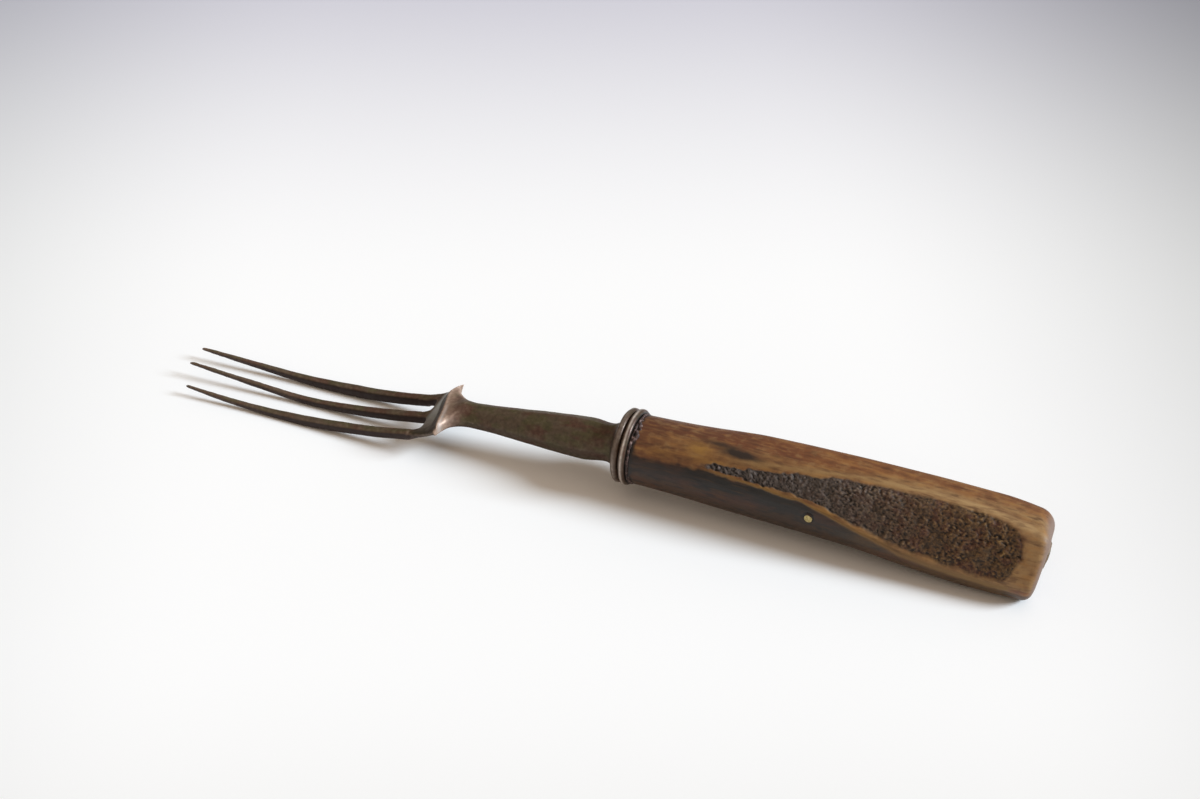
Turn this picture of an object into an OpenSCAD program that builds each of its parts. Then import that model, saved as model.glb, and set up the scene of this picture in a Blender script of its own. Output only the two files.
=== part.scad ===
// Three-tine table fork with a stag antler handle, lying as it rests on a table.
// +X runs from the tine tips to the butt, +Z is up, and z = 0 is the table top.

/* [Tines] */
// Number of tines
tine_count = 3; // [2:1:4]
// Length from the longest tine's tip to the root of the gaps
tine_len = 58.2; // [50:0.2:70]
// Distance between the centre lines of neighbouring tines
tine_pitch = 6.8; // [5.6:0.1:8]
// Width of a tine at its root
tine_w = 1.8; // [1.4:0.1:2.4]
// Depth of a tine at its root
tine_d = 2.1; // [1.6:0.1:3]
// Thickness of a tine at its worn tip
tine_tip_t = 0.5; // [0.3:0.05:1]
// Length of the taper that runs back from the tip
tine_taper_len = 44; // [25:1:46]
// Distance from the root of the gaps to the point where a tine touches the table
tine_belly = 27; // [18:0.5:34]
// Radius of the tines' curve between the belly and the root
tine_root_r = 118; // [90:1:200]
// Radius of the curve between belly and tip of the tine on the -Y side
near_tip_r = 155; // [110:1:300]
// Radius of the curve between belly and tip of the middle tines
mid_tip_r = 132; // [110:1:300]
// Radius of the curve between belly and tip of the tine on the +Y side
far_tip_r = 174; // [110:1:300]
// How much the tine on the -Y side has been worn short
near_tine_wear = 4.2; // [0:0.1:6]
// How much the middle tines have been worn short
mid_tine_wear = 1.2; // [0:0.1:6]

/* [Shoulder] */
// Radius of the upward bend behind the roots, on its underside
bend_r = 12.5; // [9:0.5:18]
// How far in front of the root of the gaps the bend begins
bend_lead = 0.6; // [0:0.1:2]
// Angle of the plate's upper face at the crest, above the table
crest_angle = 53; // [35:1:60]
// Angle of the plate's lower face below the crest
under_angle = 41; // [30:1:50]
// Thickness of the shoulder plate at the roots
plate_t = 2.1; // [1.6:0.1:3]
// Thickness of the shoulder plate at the crest
crest_t = 1.8; // [1:0.1:2.4]
// Angle by which the shoulder and the gaps slant back on the -Y side
shoulder_skew = 7; // [0:0.5:10]
// How far each ear stands out past the outer tine
ear_flare = 0.75; // [0.2:0.05:2]
// Length of the hollow fillet that runs from the crest down into the shank
fillet_len = 5.8; // [4:0.2:9]
// How quickly the hollow fillet narrows
fillet_power = 3.2; // [2:0.1:4.5]

/* [Shank] */
// Length from the crest of the shoulder to the front of the bolster
shank_len = 38.4; // [32:0.2:60]
// Height of the bolster's centre above the table
bolster_z = 9.5; // [8.5:0.1:11]
// Height of the shank's centre line behind the shoulder
waist_z = 7.7; // [7:0.1:9]
// Thickness of the shank at its waist, behind the shoulder
waist_d = 5.2; // [4:0.1:7]
// Thickness of the shank at its swelling
swell_d = 8.3; // [6:0.1:10]
// Distance from the swelling to the front of the bolster
swell_back = 8; // [5:0.5:12]
// Thickness of the neck in front of the bolster
neck_d = 7.7; // [6:0.1:9]
// Diameter of the flare where the neck meets the bolster
neck_flare_d = 10.6; // [9:0.1:12]
// How plainly the shank shows its eight filed facets, from round to flat
shank_facet = 0.75; // [0:0.05:1]

/* [Bolster] */
// Outer diameter of the two beads
bead_d = 15.4; // [13:0.1:18]
// Thickness of one bead
bead_t = 1.6; // [1.4:0.1:2.6]
// Width of the flat at the bottom of the hollow between them
groove_w = 0.4; // [0.2:0.1:2]
// Thickness of the bed of cutler's cement between bolster and handle
bed_t = 0.6; // [0.3:0.1:1.2]
// Diameter of the cement bead that squeezed out of the joint
bed_d = 14.5; // [12.5:0.1:16]

/* [Tang] */
// Diameter of the round root of the tang, inside the bolster
tang_root_d = 6.4; // [5:0.1:7.5]
// Side of the square tang where it enters the handle
tang_front = 4.4; // [3.4:0.1:5]
// Side of the square tang at its inner end
tang_back = 3.2; // [2.4:0.1:3.6]
// Diameter of the round tail that runs out to the butt
tang_tail_d = 2.8; // [2:0.1:3.4]
// Slope of the tang and handle, down toward the butt
handle_tilt = 1.2; // [0:0.1:3]
// Clearance round everything that passes through a hole
fit_gap = 0.05; // [0.02:0.01:0.1]

/* [Handle] */
// Length of the handle along the tang
handle_len = 82.1; // [70:0.1:100]
// Diameter of the handle at the bolster
handle_front_d = 14.1; // [12.6:0.1:15.5]
// Height of the handle near the butt
handle_h = 15.6; // [14:0.1:19]
// Width of the handle near the butt
handle_w = 16; // [14:0.1:20]
// Distance from the tang out to the flat under the bark, near the butt
bark_flat = 6.1; // [5.6:0.1:8]
// Distance from the tang out to the low side facet, near the butt
low_flat = 8.3; // [7:0.1:9.5]
// Distance from the tang out to the lowest corner on the near side, near the butt
low_corner = 9.6; // [8.6:0.1:12]
// Distance from the tang out to the bevel on the far lower corner
far_bevel = 8.6; // [7.6:0.1:11]
// How squarely the facets meet, where a larger number is a sharper edge
facet_sharpness = 9; // [4:0.5:12]
// How far the middle of the handle bows upward
handle_bow = 0.4; // [0:0.1:1.5]
// How far the butt swells off the line of the tang, toward the bark side
handle_sway = 1.1; // [0:0.1:1.4]
// Rounding of the edge round the butt
butt_round = 2.2; // [1:0.1:3.4]
// Angle by which the top overhangs at the butt
butt_rake = 9; // [0:0.5:14]
// Angle by which the -Y side is longer at the butt
butt_skew = 7.5; // [0:0.5:12]
// Depth to which the bark panel lies below its worked border
bark_recess = 0.45; // [0:0.05:0.8]
// Diameter of the hole drilled in from the bolster end
bore_d = 6.8; // [6.2:0.1:8]
// Depth of that hole
bore_depth = 60; // [45:1:66]

/* [Fastenings] */
// Diameter of the brass cross pin
pin_d = 1.6; // [1.2:0.1:2.4]
// Distance from the front of the handle to the cross pin
pin_back = 37.9; // [25:0.1:46]
// How far the pin's domed ends stand proud
pin_dome = 0.15; // [0.05:0.05:0.3]
// Diameter of the rove, the washer under the riveted tail
rove_d = 5.4; // [4.8:0.1:8]
// Thickness of the rove
rove_t = 0.7; // [0.4:0.1:1.2]
// Diameter of the riveted head of the tail
rivet_d = 4; // [3.6:0.1:5]
// Height of the riveted head
rivet_h = 0.45; // [0.3:0.05:0.8]

/* [Hidden] */
$fn = 64;
steel = [0.33, 0.28, 0.23];
antler = [0.55, 0.38, 0.25];
brass = [0.71, 0.62, 0.38];
cement = [0.16, 0.13, 0.11];

// Numbers of steps along the lofts and round their rings.
tine_steps = 22;
bend_steps = 8;
fillet_steps = 8;
shank_steps = 16;
flare_steps = 5;
shank_sides = 32;
handle_steps = 34;
handle_sides = 48;
round_steps = 5;

// The side view, measured back from the longest tine's tip, before everything is centred.
belly_x = tine_len - tine_belly;
bend_slope = asin((tine_belly - bend_lead) / tine_root_r);
bend_z = tine_root_r * (1 - cos(bend_slope));
bend_cx = tine_len - bend_lead - bend_r * sin(bend_slope);
bend_cz = bend_z + bend_r * cos(bend_slope);
crest_x = bend_cx + (bend_r - crest_t) * sin(crest_angle);
crest_z = bend_cz - (bend_r - crest_t) * cos(crest_angle);
under_x = bend_cx + bend_r * sin(under_angle);
under_z = bend_cz - bend_r * cos(under_angle);
collar_x = crest_x + shank_len;
plate_start = 3.4;
plate_chamfer = 0.35;
tine_chamfer = 0.22;
tip_end = 0.6;
web_inset = 0.3;
flare_len = 1.2;
outer_y = tine_pitch * (tine_count - 1) / 2 + tine_w / 2;
ear_y = outer_y + ear_flare;
gap_w = tine_pitch - tine_w;

collar_len = 2 * bead_t + groove_w;
bed_x = collar_len;
handle_x = bed_x + bed_t;
butt_x = handle_x + handle_len;
pin_x = handle_x + pin_back;
bore_end = handle_x + bore_depth;
tang_seat = 0.2;

// The overall reach each way, from which the middle of the length and of the width are found.
handle_rings = [for (i = [0:handle_steps + round_steps]) handle_ring(i)];
butt_reach = max([for (r = handle_rings) for (p = r) p[0] * cos(handle_tilt) + p[2] * sin(handle_tilt)]);
near_reach = min([for (r = handle_rings) for (p = r) p[1]]);
far_reach = max([for (r = handle_rings) for (p = r) p[1]]);
mid_x = (collar_x + butt_reach) / 2;
mid_y = (min(near_reach, -ear_y) + max(far_reach, ear_y)) / 2;

function smooth(t) = let (c = max(0, min(1, t))) c * c * (3 - 2 * c);
function mix(a, b, t) = a + (b - a) * t;
function rise(d, r) = r - sqrt(r * r - d * d);

// Closes a stack of equal rings into one solid.
module loft(rings) {
  n = len(rings[0]);
  m = len(rings);
  sides = [for (i = [0:m - 2]) for (j = [0:n - 1]) let (k = (j + 1) % n, a = i * n, b = a + n)
    each [[a + j, b + k, b + j], [a + j, a + k, b + k]]];
  ends = [[for (j = [n - 1:-1:0]) j], [for (j = [0:n - 1]) (m - 1) * n + j]];
  polyhedron(points = [for (r = rings) each r], faces = concat(ends, sides), convexity = 6);
}

// Puts a piece at the bolster's front face, sloping with the tang.
module on_tang() {
  translate([collar_x, 0, bolster_z])
    rotate([0, handle_tilt, 0])
      children();
}

// A rectangle with its four corners cut, as eight points around its middle.
function cut_rect(w, h, c) = [
  [w / 2, c - h / 2], [w / 2, h / 2 - c], [w / 2 - c, h / 2], [c - w / 2, h / 2],
  [-w / 2, h / 2 - c], [-w / 2, c - h / 2], [c - w / 2, -h / 2], [w / 2 - c, -h / 2]
];

// How far back a place on the shoulder is set by its slant.
function slant(y) = -y * tan(shoulder_skew);

// One tine, drawn from its root to its tip.
module tine(y, tip_r, wear) {
  back = tine_len + slant(y) - plate_start / 2;
  loft([for (i = [0:tine_steps])
    let (
      x = mix(back, wear, i / tine_steps),
      run = min(1, (x - wear) / tine_taper_len),
      size = mix(tine_tip_t / tine_d, 1, run) * (i == tine_steps ? tip_end : 1),
      w = tine_w * size,
      d = tine_d * size,
      low = x < belly_x ? rise(belly_x - x, tip_r) : rise(x - belly_x, tine_root_r)
    )
    [for (p = cut_rect(w, d, tine_chamfer * w)) [x, y + p[0], low + d / 2 + p[1]]]
  ]);
}

module tines() {
  last = tine_count - 1;
  for (i = [0:last])
    tine(
      tine_pitch * (i - last / 2),
      i == 0 ? near_tip_r : i == last ? far_tip_r : mid_tip_r,
      i == 0 ? near_tine_wear : i == last ? 0 : mid_tine_wear
    );
}

// One ring of the shoulder plate, from its lower point to its upper one, slanted back on one side.
function plate_ring(low, high, half_w) =
  let (
    mid = (low + high) / 2,
    t = norm(high - low),
    up = (high - low) / t
  )
  [for (p = cut_rect(2 * half_w, t, plate_chamfer))
    [mid[0] + up[0] * p[1] + slant(p[0]), p[0], mid[1] + up[1] * p[1]]];

module shoulder_plate() {
  centre = [bend_cx, bend_cz];
  start = [sin(bend_slope), -cos(bend_slope)];
  ahead = plate_start * [cos(bend_slope), sin(bend_slope)];
  difference() {
    loft([
      for (i = [bend_steps:-1:0])
        let (
          t = i / bend_steps,
          a = mix(bend_slope, under_angle, t),
          b = mix(bend_slope, crest_angle, t),
          thick = mix(plate_t, crest_t, t)
        )
        plate_ring(
          centre + bend_r * [sin(a), -cos(a)],
          centre + (bend_r - thick) * [sin(b), -cos(b)],
          outer_y + ear_flare * t * t
        ),
      plate_ring(centre + bend_r * start - ahead, centre + (bend_r - plate_t) * start - ahead, outer_y)
    ]);
    for (i = [0:tine_count - 2])
      let (y = tine_pitch * (i - (tine_count - 2) / 2))
        translate([tine_len - gap_w / 2 + slant(y), y, bend_z]) {
          cylinder(h = 20, d = gap_w, center = true);
          translate([-gap_w, 0, 0])
            cube([2 * gap_w, gap_w, 20], center = true);
        }
  }
}

// One ring of the shank, an oval or an octagon standing square to a sloping centre line.
function shank_ring(x, z, slope, half_w, half_h, facet, skew = 0) = [
  for (j = [0:shank_sides - 1])
    let (
      a = -360 * j / shank_sides,
      flat = mix(1, cos(22.5) / cos(((a + 3600) % 45) - 22.5), facet),
      y = half_w * cos(a) * flat,
      h = half_h * sin(a) * flat
    )
    [x - h * sin(slope) + skew * slant(y), y, z + h * cos(slope)]
];

// Half thickness of the shank, from its waist over the swelling to the neck.
function shank_half(x) =
  let (swell_x = collar_x - swell_back, waist_x = crest_x + fillet_len)
  x < swell_x
    ? mix(waist_d, swell_d, smooth((x - waist_x) / (swell_x - waist_x))) / 2
    : mix(swell_d, neck_d, smooth((x - swell_x) / (swell_back - flare_len))) / 2;

module shank() {
  slope = atan((bolster_z - waist_z) / (shank_len - fillet_len));
  end_x = crest_x + fillet_len;
  lean = atan2(under_x - crest_x, crest_z - under_z);
  half_h = (norm([crest_x - under_x, crest_z - under_z]) - web_inset) / 2;
  flare_x = collar_x - flare_len;
  stem_end = bolster_z - flare_len * tan(slope);
  loft([
    for (i = [0:fillet_steps])
      let (t = pow(i / fillet_steps, 1.3), narrow = pow(1 - t, fillet_power))
      shank_ring(
        mix((crest_x + under_x) / 2 - 0.5, end_x, t),
        mix((crest_z + under_z) / 2 - 0.1, waist_z, smooth(t * 1.3)),
        mix(lean, slope, smooth(t * 1.4)),
        mix(waist_d / 2, ear_y - web_inset, narrow),
        mix(half_h, waist_d / 2, smooth(t * 1.25)),
        shank_facet * smooth(2 * t - 1),
        narrow
      ),
    for (i = [1:shank_steps])
      let (t = i / shank_steps, x = mix(end_x, flare_x, t))
      shank_ring(x, mix(waist_z, stem_end, t), slope, shank_half(x), shank_half(x), shank_facet),
    for (i = [1:flare_steps])
      let (t = i / flare_steps, r = mix(neck_d, neck_flare_d, 1 - sqrt(1 - t * t)) / 2)
      shank_ring(
        mix(flare_x, collar_x, t), mix(stem_end, bolster_z, t), mix(slope, -handle_tilt, t), r, r,
        shank_facet * (1 - t)
      )
  ]);
}

// The square length of the tang, grown by a clearance where it is cut from another piece.
module square_tang(grow) {
  a = tang_front / 2 + grow;
  b = tang_back / 2 + grow;
  start = collar_len - tang_seat;
  loft([
    [[start, -a, -a], [start, -a, a], [start, a, a], [start, a, -a]],
    [[bore_end - tang_seat, -b, -b], [bore_end - tang_seat, -b, b], [bore_end - tang_seat, b, b],
      [bore_end - tang_seat, b, -b]]
  ]);
}

// A round rod along the tang, between two distances from the bolster's front face.
module rod(from, to, d) {
  translate([from, 0, 0])
    rotate([0, 90, 0])
      cylinder(h = to - from, d = d);
}

// Stands a piece on the slanting butt face, where the tang comes out.
module on_butt() {
  translate([butt_x, 0, 0])
    rotate([0, atan(tan(butt_rake) * cos(butt_skew)), butt_skew])
      rotate([0, 90, 0])
        children();
}

module cross_hole(d) {
  translate([pin_x, 0, 0])
    rotate([90, 0, 0])
      cylinder(h = 2 * handle_w, d = d, center = true);
}

// A low dome on a round base, with a short stem below it.
module dome(d, h, stem) {
  r = (d * d / 4 + h * h) / (2 * h);
  rotate_extrude()
    intersection() {
      translate([0, h - r])
        circle(r = r);
      translate([0, -stem])
        square([d / 2, h + stem]);
    }
}

module tang() {
  difference() {
    union() {
      rod(-1, collar_len, tang_root_d);
      square_tang(0);
      rod(bore_end - 2, butt_x + rove_t, tang_tail_d);
      on_butt()
        translate([0, 0, rove_t])
          dome(rivet_d, rivet_h, 0);
    }
    cross_hole(pin_d + 2 * fit_gap);
  }
}

module fork_forging() {
  color(steel)
    translate([-mid_x, -mid_y, 0]) {
      tines();
      shoulder_plate();
      shank();
      on_tang()
        tang();
    }
}

// A turned ring with two round beads and a hollow between them.
module bolster_collar() {
  r = bead_t / 2;
  ring_r = bead_d / 2 - r;
  hole_r = tang_root_d / 2 + fit_gap;
  color(steel)
    translate([-mid_x, -mid_y, 0])
      on_tang()
        rotate([0, 90, 0])
          rotate_extrude()
            union() {
              for (x = [r, collar_len - r])
                translate([ring_r, x])
                  circle(r = r);
              translate([hole_r, 0])
                square([ring_r - hole_r, collar_len]);
            }
}

// Cutler's cement: a bed under the handle's end, its squeezed-out bead and the filling of the bore.
module tang_cement() {
  color(cement)
    translate([-mid_x, -mid_y, 0])
      on_tang()
        difference() {
          union() {
            translate([bed_x, 0, 0])
              rotate([0, 90, 0])
                rotate_extrude() {
                  square([(bed_d - bed_t) / 2, bed_t]);
                  translate([(bed_d - bed_t) / 2, bed_t / 2])
                    circle(d = bed_t);
                }
            rod(bed_x, bore_end - fit_gap, bore_d - 2 * fit_gap);
          }
          square_tang(fit_gap);
          rod(bed_x - 1, bed_x + tang_seat, tang_root_d + 2 * fit_gap);
          rod(bore_end - 3, bore_end + 1, tang_tail_d + 2 * fit_gap);
          cross_hole(pin_d + 2 * fit_gap);
        }
}

// The facets round the handle at a share u of its length, each as its angle and its distance.
function facets(u) =
  let (
    grow = smooth((u - 0.05) / 0.75),
    turn = smooth((u - 0.4) / 0.36),
    front = handle_front_d / 2
  )
  [
    [45, mix(front + 1.9, handle_w, smooth((u - 0.2) / 0.2))],
    [90, mix(front, handle_h / 2, grow)],
    [150, mix(front + 0.3, bark_flat, smooth((u - 0.4) / 0.35))],
    [mix(189, 200, turn), mix(front + 0.1, low_flat, turn)],
    [232, mix(front + 0.75, low_corner, smooth((u - 0.52) / 0.34))],
    [270, mix(front, handle_h / 2, grow)],
    [318, mix(front + 0.6, far_bevel, grow)],
    [0, mix(front, handle_w / 2 - 0.1, grow)]
  ];

// Radius of the handle in one direction, a rounded polygon that is round at the bolster.
function handle_r(u, a) =
  let (
    k = facet_sharpness,
    total = [for (f = facets(u)) pow(max(0, cos(a - f[0])) / f[1], k)],
    sum = total * [for (f = total) 1]
  )
  mix(handle_front_d / 2, pow(sum, -1 / k), smooth(u / 0.3));

// Share of the bark's full depth at a place on the handle: a teardrop that widens toward the butt.
function bark(u, a) =
  let (
    top = mix(142, 107, (u - 0.17) / 0.55),
    low = mix(150, 184, (u - 0.2) / 0.45)
  )
  smooth((a - max(top, 106)) / 7) * smooth((min(low, 186) - a) / 7)
    * smooth((u - 0.17) / 0.08) * smooth((0.965 - u) / 0.03);

// One ring of the handle, with the last ones drawn in to round the edge of the butt.
function handle_ring(i) =
  let (
    last = max(0, i - handle_steps),
    body = 1 - butt_round / handle_len,
    turn = 90 * last / round_steps,
    u = body * min(1, i / handle_steps) + (1 - body) * sin(turn),
    inset = butt_round * (1 - cos(turn)),
    lift = handle_bow * sin(230 * u),
    sway = handle_sway * smooth(u / 0.65),
    lean = smooth((u - 0.6) / 0.36)
  )
  [for (j = [0:handle_sides - 1])
    let (
      a = 360 - 360 * j / handle_sides,
      r = handle_r(u, a) - inset - bark_recess * bark(u, a),
      y = r * cos(a) - sway,
      z = lift + r * sin(a)
    )
    [handle_x + handle_len * u + lean * (z * tan(butt_rake) - y * tan(butt_skew)), y, z]
  ];

module antler_handle() {
  color(antler)
    translate([-mid_x, -mid_y, 0])
      difference() {
        on_tang()
          difference() {
            loft(handle_rings);
            rod(handle_x - 1, bore_end, bore_d);
            rod(bore_end - 1, butt_x + 5, tang_tail_d + 2 * fit_gap);
            cross_hole(pin_d + 2 * fit_gap);
          }
        // The flat worn on the underside of the butt, which lies on the table.
        translate([collar_x, -handle_w, -10])
          cube([butt_x + 10, 2 * handle_w, 10]);
      }
}

// A brass rivet right through handle and tang, filed nearly flush.
module cross_pin() {
  u = pin_back / handle_len;
  sway = handle_sway * smooth(u / 0.65);
  near = handle_r(u, 180) + sway - 0.02;
  far = handle_r(u, 0) - sway - 0.02;
  color(brass)
    translate([-mid_x, -mid_y, 0])
      on_tang()
        translate([pin_x, 0, 0])
          rotate([90, 0, 0]) {
            translate([0, 0, -far])
              cylinder(h = near + far, d = pin_d);
            translate([0, 0, near])
              dome(pin_d, pin_dome, 2 * pin_dome);
            translate([0, 0, -far])
              rotate([180, 0, 0])
                dome(pin_d, pin_dome, 2 * pin_dome);
          }
}

module butt_rove() {
  color(steel)
    translate([-mid_x, -mid_y, 0])
      on_tang()
        difference() {
          on_butt()
            cylinder(h = rove_t, d = rove_d);
          rod(butt_x - 3, butt_x + 3, tang_tail_d + 2 * fit_gap);
        }
}

fork_forging();
bolster_collar();
tang_cement();
antler_handle();
cross_pin();
butt_rove();
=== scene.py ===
# %% [markdown]
# # An old table fork with a stag antler handle
# The fork lies on a pale table. Its steel part is one forging: three slim tines, a hollow
# shoulder, a filed shank, and a tang that runs through the handle. A turned collar, a little
# cement, an antler handle, a brass pin and a riveted washer complete it.
#
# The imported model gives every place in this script. It is loaded first, and each new piece is
# modelled round it, in millimetres, and moved to metres when it is finished.

import math

import bmesh
import bpy
import numpy as np
from mathutils import Matrix, Vector, noise


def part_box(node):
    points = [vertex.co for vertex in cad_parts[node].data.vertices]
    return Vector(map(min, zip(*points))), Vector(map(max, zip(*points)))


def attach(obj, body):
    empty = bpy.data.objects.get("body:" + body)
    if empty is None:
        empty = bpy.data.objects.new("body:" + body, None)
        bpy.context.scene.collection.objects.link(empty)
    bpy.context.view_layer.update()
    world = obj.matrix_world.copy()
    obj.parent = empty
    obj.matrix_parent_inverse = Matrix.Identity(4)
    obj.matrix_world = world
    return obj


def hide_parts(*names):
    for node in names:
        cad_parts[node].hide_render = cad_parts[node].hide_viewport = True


MM = 0.001
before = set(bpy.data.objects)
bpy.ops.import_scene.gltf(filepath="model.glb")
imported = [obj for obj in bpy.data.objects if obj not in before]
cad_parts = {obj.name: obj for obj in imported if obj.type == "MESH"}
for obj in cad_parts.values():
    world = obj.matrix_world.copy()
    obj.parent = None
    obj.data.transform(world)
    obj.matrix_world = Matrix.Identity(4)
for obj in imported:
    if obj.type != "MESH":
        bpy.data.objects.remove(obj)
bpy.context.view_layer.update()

# %% [markdown]
# ## Small helpers
# Colours are read off real finishes as sRGB hex values, but shaders count in linear light, so one
# function turns them. Node materials are long lists of nodes, so one function adds a node with its
# settings and its links. Drawn curves need a smooth step and a straight mix.

# %% Helpers for numbers, colours and nodes


def smooth(t):
    """A soft step from 0 to 1."""
    t = np.clip(t, 0, 1)
    return t * t * (3 - 2 * t)


def mix(a, b, t):
    return a + (b - a) * t


def linear(hex_colour, alpha=1.0):
    """An sRGB hex colour as the linear values that a shader wants."""
    parts = [int(hex_colour[i : i + 2], 16) / 255 for i in (0, 2, 4)]
    curve = [p / 12.92 if p <= 0.04045 else ((p + 0.055) / 1.055) ** 2.4 for p in parts]
    return (*curve, alpha)


def per_mm(size):
    """The scale of a texture on Object coordinates whose features are this many millimetres."""
    return 1 / (size * MM)


def add(tree, kind, inputs=None, stops=None, **settings):
    """Adds one node. Inputs are values, or sockets to link; stops are places and colours."""
    made = tree.nodes.new(kind)
    for key, value in settings.items():
        setattr(made, key, value)
    for i, (place, colour) in enumerate(stops or []):
        points = made.color_ramp.elements
        point = points[i] if i < 2 else points.new(place)
        point.position = place
        point.color = colour
    for key, value in (inputs or {}).items():
        if isinstance(value, bpy.types.NodeSocket):
            tree.links.new(value, made.inputs[key])
        else:
            made.inputs[key].default_value = value
    return made


def new_material(name):
    """An empty node material, its tree, and the places on the object for its patterns."""
    material = bpy.data.materials.new(name)
    material.use_nodes = True
    tree = material.node_tree
    tree.nodes.clear()
    return material, tree, add(tree, "ShaderNodeTexCoord").outputs["Object"]


def with_shader(material, kind, sockets):
    """Gives a material its shader, joins that to the surface and hands the material back."""
    shader = add(material.node_tree, kind, sockets)
    add(material.node_tree, "ShaderNodeOutputMaterial", {"Surface": shader.outputs[0]})
    return material


print("the hex colour 808080 in linear light:", round(linear("808080")[0], 3))

# %% [markdown]
# ## Camera
# The photograph was taken from the front, 23 degrees round toward the butt and 34 degrees above
# the table, with a longish lens. A camera that was fitted to the fork's contact points gives
# these numbers. Nothing is shifted: the aim alone frames the fork.

# %% Camera at the photograph's angle
LENS_MM = 72
SENSOR_MM = 36
CAMERA_AZIMUTH = 23.07
CAMERA_ELEVATION = 33.87
CAMERA_DISTANCE = 476.5
CAMERA_AIM = Vector((2.38, 0.10, 19.0))


def direction(azimuth, elevation):
    """The way from the object to a viewer or a lamp. Azimuth 0 stands on the -Y side."""
    a, e = math.radians(azimuth), math.radians(elevation)
    return Vector((math.sin(a) * math.cos(e), -math.cos(a) * math.cos(e), math.sin(e)))


def aim(thing, place, target):
    """Puts a camera or lamp at a place in millimetres, looking at another."""
    thing.location = place * MM
    thing.rotation_euler = (target - place).to_track_quat("-Z", "Y").to_euler()


camera = bpy.data.objects.new("camera", bpy.data.cameras.new("camera"))
bpy.context.scene.collection.objects.link(camera)
camera.data.lens = LENS_MM
camera.data.sensor_width = SENSOR_MM
camera.data.clip_start = 10 * MM
aim(
    camera,
    CAMERA_AIM + direction(CAMERA_AZIMUTH, CAMERA_ELEVATION) * CAMERA_DISTANCE,
    CAMERA_AIM,
)
bpy.context.scene.camera = camera
print("camera at mm:", [round(v / MM, 1) for v in camera.location])

# %% [markdown]
# ## Table and light
# The table is white. Its shadows are soft and fall to the left, toward the viewer, so the main
# light is a wide window low on the right, a little cool, and the warm pale room fills the rest.
# A sun lamp with a wide angle gives such a light evenly over the whole table. Toward the back
# and the sides the white fades to a cool grey. That fade is painted on the table for the eye
# and for reflections alone, so the light that the table throws on the fork stays plain. A second
# sun lamp, weak, warm and very wide, stands for what the room throws back on the front.

# %% Window and room
WINDOW_AZIMUTH = 101
WINDOW_ELEVATION = 31
WINDOW_ANGLE = 23
WINDOW_STRENGTH = 4.2
FILL_AZIMUTH = 35
FILL_ELEVATION = 52
FILL_ANGLE = 70
FILL_STRENGTH = 0.22
ROOM_STRENGTH = 0.385


def sun(name, azimuth, elevation, angle, strength, colour):
    """A sun lamp: even light over the whole table from one side."""
    lamp = bpy.data.lights.new(name, "SUN")
    lamp.angle = math.radians(angle)
    lamp.energy = strength
    lamp.color = linear(colour)[:3]
    holder = bpy.data.objects.new(name, lamp)
    bpy.context.scene.collection.objects.link(holder)
    aim(holder, direction(azimuth, elevation) * 1000, Vector())


sun("window", WINDOW_AZIMUTH, WINDOW_ELEVATION, WINDOW_ANGLE, WINDOW_STRENGTH, "e5f3ff")
sun("fill", FILL_AZIMUTH, FILL_ELEVATION, FILL_ANGLE, FILL_STRENGTH, "ffecd8")
world = bpy.data.worlds.new("room")
bpy.context.scene.world = world
world.use_nodes = True
world.node_tree.nodes.clear()
room = add(
    world.node_tree, "ShaderNodeBackground", {"Color": linear("ffe9d2"), "Strength": ROOM_STRENGTH}
)
add(world.node_tree, "ShaderNodeOutputWorld", {"Surface": room.outputs[0]})
print("strength of window, fill and room:", WINDOW_STRENGTH, FILL_STRENGTH, ROOM_STRENGTH)

# %% The white table and the grey that it fades to
FLOOR_SIZE = 6000


def as_mesh(bm, name):
    """Ends the work on a shape and gives its mesh a name."""
    mesh = bpy.data.meshes.new(name)
    bm.to_mesh(mesh)
    bm.free()
    return mesh


bm = bmesh.new()
bmesh.ops.create_grid(bm, x_segments=1, y_segments=1, size=FLOOR_SIZE / 2 * MM)
floor = bpy.data.objects.new("table_top", as_mesh(bm, "table_top"))
bpy.context.scene.collection.objects.link(floor)


def white_table():
    """White paper, dimmed by distance back, right, left and forward of the fork."""
    material, tree, place = new_material("white_paper_table")
    turned_view = (0, 0, math.radians(-CAMERA_AZIMUTH))
    turned = add(tree, "ShaderNodeMapping", {0: place, "Rotation": turned_view})
    apart = add(tree, "ShaderNodeSeparateXYZ", {0: turned.outputs[0]})
    right, back = apart.outputs["X"], apart.outputs["Y"]
    spread = add(tree, "ShaderNodeMath", {0: back, 1: 0.12, 2: right}, operation="MULTIPLY_ADD")
    fades = [
        (back, 60, 320, "c1bfcd"),
        (spread.outputs[0], 60, 250, "a6a7a6"),
        (right, -70, -230, "cacccb"),
        (back, -50, -200, "e3e2df"),
    ]
    shade = None
    for distance, near, far, grey in fades:
        run = {"Value": distance, "From Min": near * MM, "From Max": far * MM}
        fade = add(tree, "ShaderNodeMapRange", run, interpolation_type="SMOOTHSTEP")
        stops = [(0, linear("ffffff")), (1, linear(grey))]
        ramp = add(tree, "ShaderNodeValToRGB", {"Fac": fade.outputs[0]}, stops=stops)
        product = ramp.outputs[0]
        if shade:
            both = {0: shade, 1: product}
            product = add(tree, "ShaderNodeVectorMath", both, operation="MULTIPLY").outputs[0]
        shade = product
    path = add(tree, "ShaderNodeLightPath").outputs
    rays = {0: path["Is Camera Ray"], 1: path["Is Glossy Ray"]}
    seen = add(tree, "ShaderNodeMath", rays, operation="MAXIMUM").outputs[0]
    colours = {"Factor": seen, 6: linear("e8e3dc"), 7: shade}
    colour = add(tree, "ShaderNodeMix", colours, data_type="RGBA")
    return with_shader(material, "ShaderNodeBsdfDiffuse", {"Color": colour.outputs[2]})


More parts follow.
